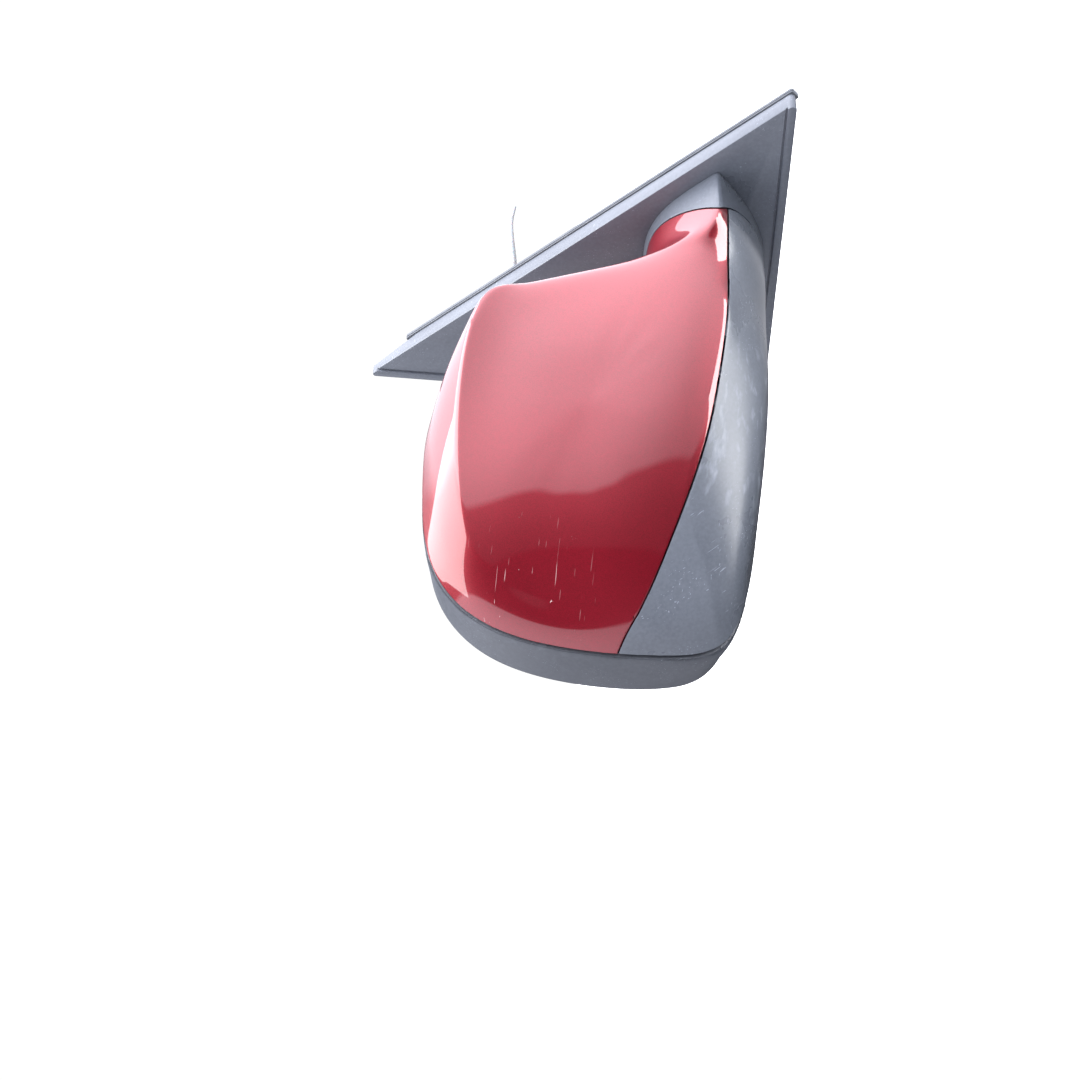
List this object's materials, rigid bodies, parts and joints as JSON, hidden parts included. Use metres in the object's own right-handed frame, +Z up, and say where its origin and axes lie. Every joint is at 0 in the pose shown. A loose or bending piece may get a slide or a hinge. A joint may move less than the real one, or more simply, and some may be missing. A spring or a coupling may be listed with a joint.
{
  "type": "car side mirror",
  "caption": "Right-hand car door mirror with triangular sail plate, fixed foot, folding painted head and glass that tilts on a motor drive.",
  "frame": {"origin": "on the bracket's door-side mounting face, 60 mm above the belt edge of the sail plate", "axes": "+X outboard away from the door, +Y forward along the car, +Z up; the glass faces -Y"},
  "size_m": [0.2615, 0.2019, 0.2027],
  "materials": {
    "paint": "deep red metallic clear coat",
    "grey_plastic": "satin, fine grain",
    "dark_plastic": "matte, fine grain",
    "rubber": "matte",
    "alloy": "die cast",
    "steel": "zinc plated",
    "brass": "turned",
    "natural_plastic": "natural nylon",
    "mirror": "first-surface silver",
    "heater_film": "polyimide film"
  },
  "bodies": {
    "base": {"sail_cover": "grey_plastic", "foot_cover": "grey_plastic", "door_bracket": "alloy", "sail_gasket": "rubber", "pillar_seal": "rubber", "door_stud_1": "steel", "door_stud_2": "steel", "door_stud_3": "steel", "grommet": "rubber", "cable_tie": "natural_plastic", "tie_tail": "natural_plastic", "pivot_post": "steel", "detent_ring": "steel", "fold_gear": "natural_plastic", "pivot_spring": "steel", "spring_retainer": "steel"},
    "head": {"painted_cap": "paint", "lower_case": "grey_plastic", "bezel": "dark_plastic", "head_frame": "alloy", "fold_housing": "dark_plastic", "fold_motor": "steel", "actuator_housing": "dark_plastic", "actuator_cover": "dark_plastic", "actuator_screw_1": "steel", "actuator_screw_2": "steel", "actuator_screw_3": "steel", "tilt_motor_vertical": "steel", "tilt_motor_horizontal": "steel"},
    "ring": {"tilt_ring": "natural_plastic"},
    "glass": {"glass_carrier": "dark_plastic", "heater_pad": "heater_film", "mirror_glass": "mirror"},
    "plunger_vertical": {"tilt_plunger_vertical": "natural_plastic"},
    "plunger_horizontal": {"tilt_plunger_horizontal": "natural_plastic"},
    "wheel_vertical": {"tilt_wheel_vertical": "natural_plastic"},
    "wheel_horizontal": {"tilt_wheel_horizontal": "natural_plastic"},
    "worm_vertical": {"tilt_worm_vertical": "brass"},
    "worm_horizontal": {"tilt_worm_horizontal": "brass"},
    "worm_fold": {"fold_worm": "brass"}
  },
  "joints": [
    {"name": "fold", "type": "hinge", "parent": "base", "child": "head", "pos_m": [0.062, 0.042, 0], "axis": [0, 0, 1], "range_deg": [-40, 20]},
    {"name": "tilt_up_down", "type": "hinge", "parent": "head", "child": "ring", "pos_m": [0.13082, -0.03073, 0.033], "axis": [0.9701, -0.2425, 0], "range_deg": [-6, 6]},
    {"name": "tilt_left_right", "type": "hinge", "parent": "ring", "child": "glass", "pos_m": [0.13082, -0.03073, 0.033], "axis": [0, 0, 1], "range_deg": [-6, 6]},
    {"name": "plunger_vertical_slide", "type": "slide", "parent": "head", "child": "plunger_vertical", "axis": [0.2425, 0.9701, 0], "range_m": [-0.0029, 0.0029]},
    {"name": "plunger_horizontal_slide", "type": "slide", "parent": "head", "child": "plunger_horizontal", "axis": [0.2425, 0.9701, 0], "range_m": [-0.0029, 0.0029]},
    {"name": "wheel_vertical_spin", "type": "hinge", "parent": "head", "child": "wheel_vertical", "pos_m": [0.133, -0.022, 0.059], "axis": [0.2425, 0.9701, 0], "range_deg": [-100, 100]},
    {"name": "wheel_horizontal_spin", "type": "hinge", "parent": "head", "child": "wheel_horizontal", "pos_m": [0.15822, -0.02831, 0.033], "axis": [0.2425, 0.9701, 0], "range_deg": [-100, 100]},
    {"name": "worm_vertical_spin", "type": "hinge", "parent": "head", "child": "worm_vertical", "pos_m": [0.14498, -0.02273, 0.056], "axis": [0, 0, 1], "range_deg": [-600, 600]},
    {"name": "worm_horizontal_spin", "type": "hinge", "parent": "head", "child": "worm_horizontal", "pos_m": [0.15585, -0.02544, 0.0208], "axis": [0.9701, -0.2425, 0], "range_deg": [-600, 600]},
    {"name": "fold_worm_spin", "type": "hinge", "parent": "head", "child": "worm_fold", "pos_m": [0.08, 0.042, 0.0116], "axis": [0, 1, 0], "range_deg": [-805, 405]}
  ],
  "couplings": [
    {"joint": "plunger_vertical_slide", "follows": "tilt_up_down", "m_per_rad": -0.026},
    {"joint": "plunger_horizontal_slide", "follows": "tilt_left_right", "m_per_rad": 0.026},
    {"joint": "wheel_vertical_spin", "follows": "tilt_up_down", "ratio": 16.3},
    {"joint": "wheel_horizontal_spin", "follows": "tilt_left_right", "ratio": 16.3},
    {"joint": "worm_vertical_spin", "follows": "tilt_up_down", "ratio": 97.8},
    {"joint": "worm_horizontal_spin", "follows": "tilt_left_right", "ratio": 97.8},
    {"joint": "fold_worm_spin", "follows": "fold", "ratio": 20}
  ]
}
